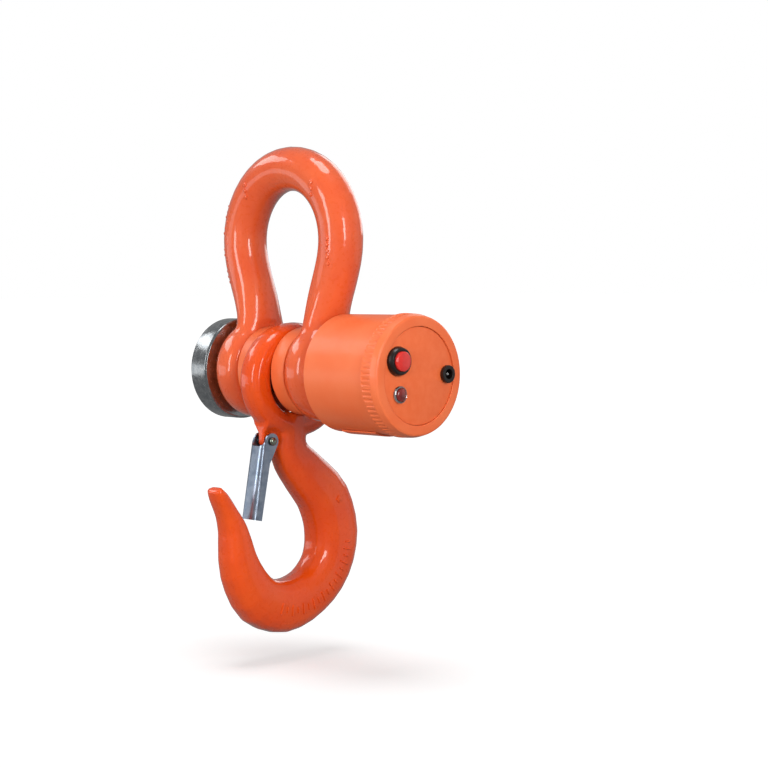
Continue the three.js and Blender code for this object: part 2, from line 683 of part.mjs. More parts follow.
function facePlate() {
  const plate = turned([
    [0, FLANGE_BACK], [FLANGE_R, FLANGE_BACK], [FLANGE_R, FLANGE_FRONT],
    [RING_LIP_R - GAP, FLANGE_FRONT], [RING_LIP_R - GAP, FACE_X], [0, FACE_X],
  ], ROUND_HOUSING);
  const hole = (radius, spot) => {
    const drill = cylinder(radius + PANEL_FIT, FLANGE_BACK - OVERCUT, FACE_X + OVERCUT, ROUND_SMALL);
    return drill.translate(spot);
  };
  return plate
    .subtract(hole(BEZEL_TAIL_R, BUTTON_SPOT))
    .subtract(hole(LED_TAIL_R, LED_SPOT))
    .subtract(hole(SOCKET_TAIL_R, SOCKET_SPOT));
}

add('union_ring', unionRing(), SATIN_ORANGE);
add('face_plate', facePlate(), SATIN_ORANGE);
add('face_gasket', collar(FLANGE_R - GASKET_WIDE, FLANGE_R, HOUSING_MOUTH + GAP, FLANGE_BACK - GAP), RUBBER);

// ---- panel controls -------------------------------------------------------------------------

const CONTROL_BACK = FACE_X + GAP; // underside of each control's flange
const CAP_BORE_R = CAP_R + CAP_FIT;
const BEZEL_FRONT = CONTROL_BACK + BEZEL_HIGH;
const CAP_RIM = BEZEL_FRONT + CAP_OUT;
const CAP_BACK = CAP_RIM - CAP_LONG;
const CAP_ROOM = CAP_BACK - CAP_TRAVEL - CAP_SPRING_ROOM; // bottom of the cap's bore

function buttonBezel() {
  const tail = CONTROL_BACK - BEZEL_TAIL_LONG;
  const body = turned([
    [0, tail], [BEZEL_TAIL_R, tail], [BEZEL_TAIL_R, CONTROL_BACK], [BEZEL_BASE_R, CONTROL_BACK],
    [BEZEL_BASE_R, CONTROL_BACK + BEZEL_FOOT], [BEZEL_FRONT_R, BEZEL_FRONT - BREAK],
    [BEZEL_FRONT_R - BREAK, BEZEL_FRONT], [0, BEZEL_FRONT],
  ], ROUND_BUTTON);
  const bore = cylinder(CAP_BORE_R, CAP_ROOM, BEZEL_FRONT + OVERCUT, ROUND_BUTTON);
  return body.subtract(bore).translate(BUTTON_SPOT);
}

function buttonCap() {
  const dome = [];
  const steps = 5;
  for (let i = 0; i <= steps; i += 1) {
    const angle = radians((90 * i) / steps);
    dome.push([CAP_R * Math.cos(angle), CAP_RIM + CAP_DOME * Math.sin(angle)]);
  }
  dome[steps][0] = 0;
  return turned([[0, CAP_BACK], [CAP_R, CAP_BACK], ...dome], ROUND_BUTTON).translate(BUTTON_SPOT);
}

// A round nut behind the face plate.
function panelNut(tailRadius, spot) {
  const front = FLANGE_BACK - GAP;
  const bore = tailRadius + GAP;
  return collar(bore, bore + PANEL_NUT_WIDE, front - PANEL_NUT, front, 0.4, ROUND_SMALL).translate(spot);
}

function ledBezel() {
  const front = CONTROL_BACK + LED_HIGH;
  const tail = CONTROL_BACK - LED_TAIL_LONG;
  return turned([
    [0, tail], [LED_TAIL_R, tail], [LED_TAIL_R, CONTROL_BACK], [LED_FLANGE_R, CONTROL_BACK],
    [LED_FLANGE_R, front - BREAK], [LED_FLANGE_R - BREAK, front], [LENS_R + GAP, front],
    [LENS_R + GAP, CONTROL_BACK + LENS_SEAT], [0, CONTROL_BACK + LENS_SEAT],
  ], ROUND_BUTTON).translate(LED_SPOT);
}

function ledLens() {
  const base = CONTROL_BACK + LENS_SEAT + GAP;
  const rim = base + LENS_EDGE;
  return turned([
    [0, base], [LENS_R, base], [LENS_R, rim], [LENS_R * 0.85, rim + LENS_DOME * 0.5],
    [LENS_R * 0.5, rim + LENS_DOME * 0.85], [0, rim + LENS_DOME],
  ], ROUND_BUTTON).translate(LED_SPOT);
}

function socketBody() {
  const front = CONTROL_BACK + SOCKET_HIGH;
  const tail = CONTROL_BACK - SOCKET_TAIL_LONG;
  const floor = front - SOCKET_BORE_DEEP;
  return turned([
    [0, tail], [SOCKET_TAIL_R, tail], [SOCKET_TAIL_R, CONTROL_BACK], [SOCKET_FLANGE_R, CONTROL_BACK],
    [SOCKET_FLANGE_R, front - BREAK], [SOCKET_FLANGE_R - BREAK, front], [SOCKET_BORE_R, front],
    [SOCKET_BORE_R, floor], [0, floor],
  ], ROUND_BUTTON).translate(SOCKET_SPOT);
}

function socketPin() {
  const front = CONTROL_BACK + SOCKET_HIGH;
  const base = front - SOCKET_BORE_DEEP + GAP;
  const tip = front - SOCKET_PIN_SUNK;
  return turned([
    [0, base], [SOCKET_PIN_R, base], [SOCKET_PIN_R, tip - BREAK], [SOCKET_PIN_R / 2, tip], [0, tip],
  ], 16).translate(SOCKET_SPOT);
}

add('button_bezel', buttonBezel(), BLACK_PLASTIC);
add('button_cap', buttonCap(), RED_PLASTIC);
add('button_spring', coil(BUTTON_COIL_R, CAP_ROOM, CAP_BACK - CAP_TRAVEL).translate(BUTTON_SPOT), STEEL);
add('button_nut', panelNut(BEZEL_TAIL_R, BUTTON_SPOT), STEEL);
add('led_bezel', ledBezel(), CHROME);
add('led_lens', ledLens(), RED_PLASTIC);
add('led_nut', panelNut(LED_TAIL_R, LED_SPOT), STEEL);
add('socket_body', socketBody(), BLACK_PLASTIC);
add('socket_pin', socketPin(), CHROME);
add('socket_nut', panelNut(SOCKET_TAIL_R, SOCKET_SPOT), STEEL);

// ---- inside the housing ---------------------------------------------------------------------

const WASHER_X = HOUSING_FLOOR + GAP;
const NUT_X = WASHER_X + WASHER_THICK + GAP;
const PILLAR_ANGLES = [55, 125, 270];
const BOARD_X = HOUSING_FLOOR + BOARD_STAND;
const BOARD_R = HOUSING_BORE_R - BOARD_CLEAR;
const PILLAR_PCR = BOARD_R - PILLAR_INSET;
const PILLAR_FRONT = BOARD_X - GAP;
const BOARD_FRONT = BOARD_X + BOARD_THICK;

function pinNut() {
  const outline = Array.from({ length: 6 }, (_, i) => {
    const angle = radians(60 * i);
    const corner = NUT_ACROSS / 2 / Math.cos(Math.PI / 6);
    return [corner * Math.cos(angle), corner * Math.sin(angle)];
  });
  const front = NUT_X + NUT_THICK;
  return prism(outline, NUT_X, front).subtract(cylinder(SPIGOT_BORE_R, NUT_X - OVERCUT, front + OVERCUT));
}

function pillarSpot(angle) {
  return [0, PILLAR_PCR * Math.cos(radians(angle)), PILLAR_PCR * Math.sin(radians(angle))];
}

function pillar(angle) {
  const post = cylinder(PILLAR_R, HOUSING_FLOOR + GAP, PILLAR_FRONT, 12);
  const hole = cylinder(SCREW_R + GAP, PILLAR_FRONT - SCREW_LONG, PILLAR_FRONT + OVERCUT, 12);
  return post.subtract(hole).translate(pillarSpot(angle));
}

function boardScrew(angle) {
  const seat = BOARD_FRONT + GAP;
  return turned([
    [0, seat - SCREW_LONG], [SCREW_R, seat - SCREW_LONG], [SCREW_R, seat], [SCREW_HEAD_R, seat],
    [SCREW_HEAD_R, seat + SCREW_HEAD * 0.6], [SCREW_HEAD_R * 0.6, seat + SCREW_HEAD], [0, seat + SCREW_HEAD],
  ], 16).translate(pillarSpot(angle));
}

function circuitBoard() {
  const hole = cylinder(SCREW_R + GAP, BOARD_X - OVERCUT, BOARD_X + OVERCUT, 12);
  return PILLAR_ANGLES.reduce(
    (board, angle) => board.subtract(hole.translate(pillarSpot(angle))),
    cylinder(BOARD_R, BOARD_X, BOARD_FRONT, 48),
  );
}

const TRAY_BACK = BOARD_FRONT + GAP;
const CELL_X = TRAY_BACK + TRAY_WALL + GAP + CELL_R;
const CELL_PITCH = 2 * CELL_R + GAP;
const TRAY_HALF_Y = (CELL_PITCH * CELL_COUNT) / 2;
const TRAY_HALF_Z = CELL_LONG / 2 + GAP;

function batteryTray() {
  const outer = box(
    [TRAY_BACK, TRAY_BACK + TRAY_HIGH], [-TRAY_HALF_Y, TRAY_HALF_Y],
    [-TRAY_HALF_Z - TRAY_WALL, TRAY_HALF_Z + TRAY_WALL],
  );
  const inner = box(
    [TRAY_BACK + TRAY_WALL, TRAY_BACK + TRAY_HIGH + OVERCUT], [-TRAY_HALF_Y - OVERCUT, TRAY_HALF_Y + OVERCUT],
    [-TRAY_HALF_Z, TRAY_HALF_Z],
  );
  return outer.subtract(inner);
}

function batteryCell(slot) {
  const y = (slot - (CELL_COUNT - 1) / 2) * CELL_PITCH;
  const can = new THREE.CylinderGeometry(CELL_R, CELL_R, CELL_LONG, 24).rotateX(Math.PI / 2);
  return solid(can.translate(CELL_X, y, 0));
}

const CONNECTOR = {
  x: [BOARD_X - GAP - CONNECTOR_SIZE[0], BOARD_X - GAP],
  y: [CONNECTOR_Y, CONNECTOR_Y + CONNECTOR_SIZE[1]],
  z: [-CONNECTOR_SIZE[2] / 2, CONNECTOR_SIZE[2] / 2],
};

// Leads from the gauges, out of the pin's bore to the connector on the board's back.
function gaugeLead() {
  const entryX = CONNECTOR.x[0] + CONNECTOR_SIZE[0] / 2;
  const line = new THREE.CatmullRomCurve3([
    new THREE.Vector3(CORE_END + GAP, 0, 0),
    new THREE.Vector3(PIN_END + LEAD_R, GAP, 0),
    new THREE.Vector3(entryX - 1, CONNECTOR.y[0] - 2.4 * LEAD_BEND, 0),
    new THREE.Vector3(entryX, CONNECTOR.y[0] - LEAD_BEND, 0),
    new THREE.Vector3(entryX, CONNECTOR.y[0] - GAP, 0),
  ], false, 'centripetal');
  return wire(line, LEAD_R, 20);
}

const RADIO_FRONT = BOARD_FRONT + GAP + RADIO_THICK;
const RADIO_LOW = TRAY_HALF_Z + TRAY_WALL + RADIO_CLEAR;
const RADIO_HIGH = RADIO_LOW + RADIO_TALL;

function radioModule() {
  return box([BOARD_FRONT + GAP, RADIO_FRONT], [-RADIO_WIDE / 2, RADIO_WIDE / 2], [RADIO_LOW, RADIO_HIGH]);
}

function antenna() {
  const base = RADIO_FRONT + GAP;
  const tip = FLANGE_BACK - ANTENNA_CLEAR;
  return turned([
    [0, base], [ANTENNA_R, base], [ANTENNA_R, tip - 1], [ANTENNA_R / 2, tip], [0, tip],
  ], 12).translate([0, 0, (RADIO_LOW + RADIO_HIGH) / 2]);
}

add('pin_washer', collar(
  SPIGOT_BORE_R, SPIGOT_BORE_R + WASHER_WIDE, WASHER_X, WASHER_X + WASHER_THICK,
), STEEL);
add('pin_nut', pinNut(), STEEL);
PILLAR_ANGLES.forEach((angle, i) => {
  add(`board_pillar_${i + 1}`, pillar(angle), STEEL);
  add(`board_screw_${i + 1}`, boardScrew(angle), STEEL);
});
add('circuit_board', circuitBoard(), BOARD_GREEN);
add('board_connector', box(CONNECTOR.x, CONNECTOR.y, CONNECTOR.z), BLACK_PLASTIC);
add('gauge_lead', gaugeLead(), RUBBER);
add('battery_tray', batteryTray(), BLACK_PLASTIC);
for (let slot = 0; slot < CELL_COUNT; slot += 1) {
  add(`battery_cell_${slot + 1}`, batteryCell(slot), CELL_SLEEVE);
}
add('radio_module', radioModule(), STEEL);
add('antenna', antenna(), BLACK_PLASTIC);

export default scale;
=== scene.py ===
"""A wireless crane scale: a forged shackle and hook on a load pin, with a round electronics housing.

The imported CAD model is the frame. Most parts that show are made again here, smooth and detailed,
in the same place, and the rest keep their CAD shape. Sizes are in millimetres and become metres
where a mesh is made.
"""

import json
import math

import bmesh
import bpy
from mathutils import Matrix, Vector
from mathutils.bvhtree import BVHTree


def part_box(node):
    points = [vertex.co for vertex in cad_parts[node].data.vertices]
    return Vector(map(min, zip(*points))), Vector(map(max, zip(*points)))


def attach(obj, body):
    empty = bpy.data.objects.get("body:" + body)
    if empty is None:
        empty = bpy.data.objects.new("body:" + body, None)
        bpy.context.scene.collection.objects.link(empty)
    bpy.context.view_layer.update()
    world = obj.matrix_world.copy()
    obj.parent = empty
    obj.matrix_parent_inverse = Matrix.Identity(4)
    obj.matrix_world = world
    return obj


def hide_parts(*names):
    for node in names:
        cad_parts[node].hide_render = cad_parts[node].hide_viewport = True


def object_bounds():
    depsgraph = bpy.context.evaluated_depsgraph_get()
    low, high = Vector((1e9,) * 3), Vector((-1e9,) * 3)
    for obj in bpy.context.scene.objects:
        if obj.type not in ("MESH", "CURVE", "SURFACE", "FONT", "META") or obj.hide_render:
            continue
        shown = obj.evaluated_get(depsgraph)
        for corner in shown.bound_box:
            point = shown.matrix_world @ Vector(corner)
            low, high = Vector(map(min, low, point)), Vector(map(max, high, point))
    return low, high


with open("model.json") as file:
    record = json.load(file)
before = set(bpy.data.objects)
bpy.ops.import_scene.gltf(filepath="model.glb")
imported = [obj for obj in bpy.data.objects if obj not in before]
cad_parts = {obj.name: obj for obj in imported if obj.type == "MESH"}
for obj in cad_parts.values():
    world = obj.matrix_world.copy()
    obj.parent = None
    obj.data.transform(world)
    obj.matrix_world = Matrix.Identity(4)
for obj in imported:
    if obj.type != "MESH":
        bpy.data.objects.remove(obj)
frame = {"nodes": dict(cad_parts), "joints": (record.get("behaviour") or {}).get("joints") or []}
cad_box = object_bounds()
scene = bpy.context.scene

MM = 0.001
GAP = 0.3  # clearance between parts that meet, as in the CAD
joint_at = {joint["name"]: Vector(joint["pos_m"]) for joint in frame["joints"] if "pos_m" in joint}
PIN = joint_at["hook_swing"]  # the load pin's axis
LATCH_PIVOT = joint_at["latch_pivot"]


def box_mm(node):
    """A CAD node's lowest and highest corners, in millimetres."""
    low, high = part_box(node)
    return low / MM, high / MM


def middle(node):
    """The centre of a CAD node's box, in metres."""
    low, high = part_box(node)
    return (low + high) / 2


# ---- camera, floor and light -----------------------------------------------------------------

CAMERA_AZIMUTH = 45.46  # degrees
CAMERA_ELEVATION = 3.20
CAMERA_ROLL = -0.40
CAMERA_AT = Vector((0.97278, -0.86506, -0.06672))
CAMERA_LENS = 84.375
FLOOR_DROP = 19  # clear air under the hook


def turned_towards(azimuth, elevation):
    """Axes of something at an azimuth and elevation round the scale that faces it."""
    a, e = math.radians(azimuth), math.radians(elevation)
    back = Vector((math.sin(a) * math.cos(e), -math.cos(a) * math.cos(e), math.sin(e)))
    right = Vector((math.cos(a), math.sin(a), 0))
    return Matrix((right, back.cross(right), back)).transposed().to_4x4()


camera = bpy.data.objects.new("camera", bpy.data.cameras.new("camera"))
scene.collection.objects.link(camera)
camera.data.lens = CAMERA_LENS
camera.data.sensor_width = 36
camera.data.clip_start = 0.05
camera.data.clip_end = 60
roll = Matrix.Rotation(math.radians(CAMERA_ROLL), 4, "Z")
facing = turned_towards(CAMERA_AZIMUTH, CAMERA_ELEVATION)
camera.matrix_world = Matrix.Translation(CAMERA_AT) @ facing @ roll
scene.camera = camera
scene.view_settings.view_transform = "Standard"


def softbox(name, around, elevation, distance, width, height, radiance, mirrored=True):
    """A rectangular studio light that faces the pin, so many degrees round from the camera.

    Distance and size are in metres. Without mirroring it only fills shade.
    """
    light = bpy.data.lights.new(name, "AREA")
    light.shape = "RECTANGLE"
    light.size, light.size_y = width, height
    light.energy = radiance * math.pi * width * height
    lamp = bpy.data.objects.new(name, light)
    scene.collection.objects.link(lamp)
    axes = turned_towards(CAMERA_AZIMUTH + around, elevation)
    lamp.matrix_world = Matrix.Translation(PIN + axes.col[2].to_3d() * distance) @ axes
    lamp.visible_glossy = mirrored
    return lamp


softboxes = [
    softbox("strip_left", -56, 14, 1.6, 0.34, 0.9, 6.5),
    softbox("strip_right", 24, 14, 1.6, 0.26, 0.8, 9),
    softbox("side_fill", 40, 15, 2.0, 1.3, 1.1, 3.7, mirrored=False),
    softbox("front_fill", -34, -2, 2.4, 1.6, 1.0, 7.2, mirrored=False),
    softbox("left_wall", -98, -2, 2.2, 1.6, 0.55, 1.1),
    softbox("upper_left", -114, 35, 2.0, 1.1, 0.5, 3.0),
    softbox("right_wall", 94, 6, 2.2, 1.4, 1.6, 0.22),
    softbox("back_fill", 150, 25, 1.8, 1.2, 1.2, 1.6),
]

# A soft light from above, even over the whole floor
overhead = bpy.data.objects.new("overhead", bpy.data.lights.new("overhead", "SUN"))
overhead.data.energy = 1.0
overhead.data.angle = math.radians(28)
scene.collection.objects.link(overhead)

# ---- materials -------------------------------------------------------------------------------


def linear(code):
    """An sRGB hex colour as linear red, green, blue and alpha."""
    values = [int(code[i : i + 2], 16) / 255 for i in (0, 2, 4)]
    return (*[v / 12.92 if v <= 0.04045 else ((v + 0.055) / 1.055) ** 2.4 for v in values], 1)


def add(tree, kind, inputs=None, **settings):
    """Adds a node, sets it up and gives its inputs their values or links."""
    made = tree.nodes.new(kind)
    for key, value in settings.items():
        setattr(made, key, value)
    for key, value in (inputs or {}).items():
        if isinstance(value, bpy.types.NodeSocket):
            tree.links.new(value, made.inputs[key])
        else:
            made.inputs[key].default_value = value
    return made


def surface(name, inputs, roughness=0.4):
    """An empty material with its shader and its Object coordinates."""
    material = bpy.data.materials.new(name)
    material.use_nodes = True
    tree = material.node_tree
    tree.nodes.clear()
    shader = add(tree, "ShaderNodeBsdfPrincipled", {"Roughness": roughness, **inputs})
    out = add(tree, "ShaderNodeOutputMaterial")
    tree.links.new(shader.outputs["BSDF"], out.inputs["Surface"])
    place = add(tree, "ShaderNodeTexCoord").outputs["Object"]
    return material, tree, shader, place


def grain(tree, place, size_mm, detail=2.0, roughness=0.5):
    """Noise whose spots are about this many millimetres across."""
    return add(
        tree,
        "ShaderNodeTexNoise",
        {"Vector": place, "Scale": 1 / (size_mm * MM), "Detail": detail, "Roughness": roughness},
    ).outputs["Fac"]


def spread(tree, value, low, high, to_low, to_high):
    """A value from one range as a value in another."""
    return add(
        tree,
        "ShaderNodeMapRange",
        {0: value, 1: low, 2: high, 3: to_low, 4: to_high},
    ).outputs[0]


def blended(tree, share, first, second):
    """One colour or another by a share from 0 to 1."""
    mix = add(tree, "ShaderNodeMix", {"Factor": share}, data_type="RGBA")
    for socket, value in ((mix.inputs[6], first), (mix.inputs[7], second)):
        if isinstance(value, bpy.types.NodeSocket):
            tree.links.new(value, socket)
        else:
            socket.default_value = value
    return mix.outputs[2]


def relief(tree, layers):
    """Bumps over bumps: each layer is (height from 0 to 1, its depth in millimetres)."""
    normal = None
    for height, depth_mm in layers:
        inputs = {"Height": height, "Distance": depth_mm * MM, "Strength": 1.0}
        if normal:
            inputs["Normal"] = normal
        normal = add(tree, "ShaderNodeBump", inputs).outputs["Normal"]
    return normal


def painted(name, main, warm, roughness, coat, peel_mm, peel_deep, dent_mm, dent_deep):
    """Paint over metal: two shades in soft clouds, orange peel and the dents of the metal below."""
    material, tree, shader, place = surface(name, {
        "Coat Weight": coat, "Coat Roughness": 0.07, "Specular IOR Level": 0.5 - 0.35 * coat,
    })
    clouds = spread(tree, grain(tree, place, 24, 3), 0.35, 0.65, 0, 1)
    colour = blended(tree, clouds, linear(main), linear(warm))
    tree.links.new(colour, shader.inputs["Base Color"])
    fine = grain(tree, place, 3, 3)
    gloss = spread(tree, fine, 0.3, 0.7, roughness - 0.06, roughness + 0.06)
    tree.links.new(gloss, shader.inputs["Roughness"])
    normal = relief(tree, [
        (grain(tree, place, dent_mm, 2), dent_deep),
        (grain(tree, place, peel_mm, 1), peel_deep),
    ])
    tree.links.new(normal, shader.inputs["Normal"])
    tree.links.new(normal, shader.inputs["Coat Normal"])
    return material


# Drop-forged steel dipped in gloss enamel: deep orange, a wet shine, and a forged surface below it
ENAMELLED_FORGING = painted(
    "gloss_enamelled_drop_forging", "dc460a", "e14e0e", 0.3, 1.0, 3.0, 0.012, 11, 0.2,
)
# The same enamel on the bow, painted paler: the lighter colour is a painted sheen that stands in for a broad
# whitish reflection on the gloss
ENAMELLED_BOW_PAINTED_SHEEN = painted(
    "enamelled_drop_forging_painted_sheen", "dd572c", "e16033", 0.3, 1.0, 3.0, 0.012, 11, 0.2,
)
# Epoxy powder baked on turned aluminium: a paler, satin orange with fine even orange peel
POWDER_COAT = painted(
    "satin_powder_coated_aluminium", "e96a38", "ec7342", 0.42, 0.10, 0.9, 0.015, 40, 0.05,
)


def metal(name, light, dark, roughness, spot_mm=3.0, banding=0.0, pits=0.02, axis=PIN):
    """Bare or plated metal: two tones in spots, and turning marks round an axis along X."""
    material, tree, shader, place = surface(name, {"Metallic": 1.0})
    spots = grain(tree, place, spot_mm, 4, 0.65)
    tone = spread(tree, spots, 0.35, 0.65, 0, 1)
    tree.links.new(blended(tree, tone, linear(dark), linear(light)), shader.inputs["Base Color"])
    layers = [(grain(tree, place, 0.7, 2), pits)]
    wear = spread(tree, spots, 0.3, 0.7, roughness - 0.05, roughness + 0.07)
    if banding:
        split = add(tree, "ShaderNodeSeparateXYZ", {0: place})
        across = add(tree, "ShaderNodeMath", {0: split.outputs["Z"], 1: -axis.z}, operation="ADD")
        flat = add(tree, "ShaderNodeCombineXYZ", {"X": split.outputs["Y"], "Y": across.outputs[0]})
        radius = add(tree, "ShaderNodeVectorMath", {0: flat.outputs[0]}, operation="LENGTH")
        lane = add(tree, "ShaderNodeCombineXYZ", {"X": split.outputs["X"], "Y": radius.outputs["Value"]})
        lines = grain(tree, lane.outputs[0], 0.5, 2, 0.7)
        layers.append((lines, banding))
        share = spread(tree, lines, 0.3, 0.7, -0.06, 0.06)
        wear = add(tree, "ShaderNodeMath", {0: wear, 1: share}, operation="ADD").outputs[0]
    tree.links.new(wear, shader.inputs["Roughness"])
    tree.links.new(relief(tree, layers), shader.inputs["Normal"])
    return material


# Turned steel, bright zinc plated: fine lathe rings and a faint patchy passivation
ZINC_TURNED = metal("zinc_plated_turned_steel", "b1b4b6", "8d9296", 0.19, 3.5, banding=0.035)
# Pressed strip, zinc plated and blue passivated: smoother, colder and cloudier
ZINC_PRESSED = metal("blue_zinc_plated_pressing", "b3bfd0", "8e9db3", 0.33, 7.0, pits=0.01)
# Zinc plated pin with a yellow-green passivation tint
ZINC_TINTED = metal("tinted_zinc_plated_pin", "a8b0a0", "7d8a7c", 0.24, 2.0)
# Hard-drawn wire, oil-blackened: dark and half matt
SPRING_WIRE = metal("oil_blackened_spring_wire", "5a5c60", "2e3034", 0.38, 1.5)
# Plain machined steel inside the housing
MACHINED_STEEL = metal("machined_mild_steel", "a0a4a8", "7c8085", 0.35, 3.0)
# Chrome over turned brass: mirror-bright
CHROME = metal("chrome_plated_brass", "d8d8d8", "c4c5c8", 0.1, 2.0, pits=0.004)


def moulded(name, main, shade, roughness, texture_mm, texture_deep, inputs=None):
    """Moulded plastic or rubber: a slightly uneven colour and the mould's fine texture."""
    material, tree, shader, place = surface(name, inputs or {})
    clouds = spread(tree, grain(tree, place, 5, 3), 0.35, 0.65, 0, 1)
    tree.links.new(blended(tree, clouds, linear(main), linear(shade)), shader.inputs["Base Color"])
    fine = grain(tree, place, texture_mm, 2)
    gloss = spread(tree, fine, 0.3, 0.7, roughness - 0.04, roughness + 0.04)
    tree.links.new(gloss, shader.inputs["Roughness"])
    tree.links.new(relief(tree, [(fine, texture_deep)]), shader.inputs["Normal"])
    return material


# Moulded ABS front, the powder coat's colour with a fine spark-eroded texture
FACE_ABS = moulded("spark_textured_abs_orange", "ec6f3d", "e96835", 0.4, 0.5, 0.012)
# Glass-filled nylon bezel: near black, half gloss
NYLON_BLACK = moulded("glass_filled_nylon_black", "1d1412", "120c0b", 0.3, 0.6, 0.015)
# Polished acrylic push button: clear-surfaced warm red
ACRYLIC_RED = moulded(
    "polished_acrylic_red", "d8302a", "cc2622", 0.16, 2.0, 0.004,
    {"Coat Weight": 0.6, "Coat Roughness": 0.06, "IOR": 1.49},
)
# Unlit indicator lens of tinted polycarbonate: dark wine red with a clear skin
POLYCARBONATE_RED = moulded(
    "tinted_polycarbonate_lens", "8a1a14", "5e0f0c", 0.1, 2.0, 0.003,
    {"Coat Weight": 1.0, "Coat Roughness": 0.03, "IOR": 1.58},
)
NITRILE = moulded("nitrile_rubber_seal", "1c1b1b", "141313", 0.65, 0.5, 0.02)
POTTING = moulded("epoxy_potting", "2a2622", "1f1c19", 0.4, 3.0, 0.02)
LEAD_SLEEVE = moulded("pvc_lead_sleeve", "2c2c2e", "222224", 0.45, 0.8, 0.01)
LAMINATE = moulded("solder_masked_glass_laminate", "1f5a34", "184c2b", 0.35, 0.6, 0.01)
CELL_SLEEVE = moulded("shrink_sleeved_cell", "2f6fb0", "2963a0", 0.3, 4.0, 0.01)
DISPLAY_BLACK = moulded("abs_black_moulding", "1a1a1a", "111111", 0.4, 0.5, 0.02)

# ---- shaping helpers -------------------------------------------------------------------------

TURN_STEPS = 160  # faces round a large turned part
SMALL_STEPS = 72  # and round a small one
SHARP = math.radians(28)


def keep(name, bm, material, body, slot, *nodes):
    """Closes a bmesh into a smooth-shaded piece that rides on a body and stands for CAD nodes."""
    mesh = bpy.data.meshes.new(name)
    bmesh.ops.recalc_face_normals(bm, faces=bm.faces)
    bm.to_mesh(mesh)
    bm.free()
    mesh.polygons.foreach_set("use_smooth", [True] * len(mesh.polygons))
    mesh.set_sharp_from_angle(angle=SHARP)
    mesh.materials.append(material)
    piece = bpy.data.objects.new(name, mesh)
    scene.collection.objects.link(piece)
    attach(piece, body)
    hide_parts(*nodes)


def spun(outline, centre=PIN, steps=TURN_STEPS, closed=False):
    """Turns (radius, x) points, in millimetres, round a line along X through a centre."""
    bm = bmesh.new()
    verts = [bm.verts.new((x * MM, centre.y, centre.z + radius * MM)) for radius, x in outline]
    ends = verts[1:] + verts[:1] if closed else verts[1:]
    edges = [bm.edges.new(pair) for pair in zip(verts, ends)]
    bmesh.ops.spin(
        bm, geom=verts + edges, cent=(0, centre.y, centre.z), axis=(1, 0, 0),
        angle=2 * math.pi, steps=steps, use_merge=True,
    )
    bmesh.ops.remove_doubles(bm, verts=bm.verts, dist=1e-6)
    bmesh.ops.recalc_face_normals(bm, faces=bm.faces)
    return bm


def break_edges(bm, width, segments=3):
    """Rounds every sharp edge."""
    sharp = [e for e in bm.edges if len(e.link_faces) == 2 and e.calc_face_angle() > SHARP]
    bmesh.ops.bevel(
        bm, geom=sharp, offset=width * MM, affect="EDGES", segments=segments,
        profile=0.5, material=-1, clamp_overlap=True,
    )
    return bm


# ---- forgings --------------------------------------------------------------------------------


def stand_in(bm):
    """A passing object made from a bmesh, to put modifiers on."""
    mesh = bpy.data.meshes.new("stand_in")
    bm.to_mesh(mesh)
    bm.free()
    holder = bpy.data.objects.new("stand_in", mesh)
    scene.collection.objects.link(holder)
    return holder


def taken_from(holder):
    """A stand-in's finished shape as a bmesh. The stand-in goes."""
    bm = bmesh.new()
    bm.from_object(holder, bpy.context.evaluated_depsgraph_get())
    bpy.data.objects.remove(holder)
    return bm


def forged(node, cell, passes):
    """An even skin over a CAD solid, eased so that its parts run into each other with fillets."""
    base = bmesh.new()
    base.from_mesh(frame["nodes"][node].data)
    bmesh.ops.remove_doubles(base, verts=base.verts, dist=1e-6)
    holder = stand_in(base)
    remesh = holder.modifiers.new("cells", "REMESH")
    remesh.mode = "VOXEL"
    remesh.voxel_size = cell * MM
    remesh.adaptivity = 0
    skin = taken_from(holder)
    for _ in range(passes):
        bmesh.ops.smooth_vert(
            skin, verts=skin.verts, factor=0.5, use_axis_x=True, use_axis_y=True, use_axis_z=True,
        )
    return skin


DRILL_LONG = 200  # longer than the whole scale is from its pin


def bored(bm, holes):
    """Drills round holes, each (centre, radius), along X right through a solid."""
    block = stand_in(bm)
    drills = []
    for centre, radius in holes:
        rod = [(0, 0), (radius, 0), (radius, DRILL_LONG), (0, DRILL_LONG)]
        drill = stand_in(spun(rod, centre, SMALL_STEPS))
        cut = block.modifiers.new("hole", "BOOLEAN")
        cut.object = drill
        drills.append(drill)
    made = taken_from(block)
    for drill in drills:
        bpy.data.objects.remove(drill)
    return made


def raise_mark(bm, skin, start, towards, length, turn=0, width=1.6, height=0.85):
    """Raises a round-edged bar or pad, in millimetres, where a line from start meets the skin."""
    point, normal, _, _ = skin.ray_cast(Vector(start) * MM + PIN, Vector(towards))
    if point is None:
        return
    verts = bmesh.ops.create_cube(bm, size=1)["verts"]
    edges = list({edge for vert in verts for edge in vert.link_edges})
    size = Matrix.Diagonal((length * MM, width * MM, 2 * height * MM, 1))
    place = Matrix.Translation(point) @ normal.to_track_quat("Z", "Y").to_matrix().to_4x4()
    spin = Matrix.Rotation(math.radians(turn), 4, "Z")
    bmesh.ops.transform(bm, matrix=place @ spin @ size, verts=verts)
    bmesh.ops.bevel(
        bm, geom=edges, offset=0.8 * height * MM, affect="EDGES", segments=2, profile=0.5,
        material=-1,
    )


bow = forged("shackle_bow", 1.1, 12)
bow_skin = BVHTree.FromBMesh(bow)
FRONT = -60  # clear of the bow, towards -Y
SIDE = 60  # clear of the hook, towards +X
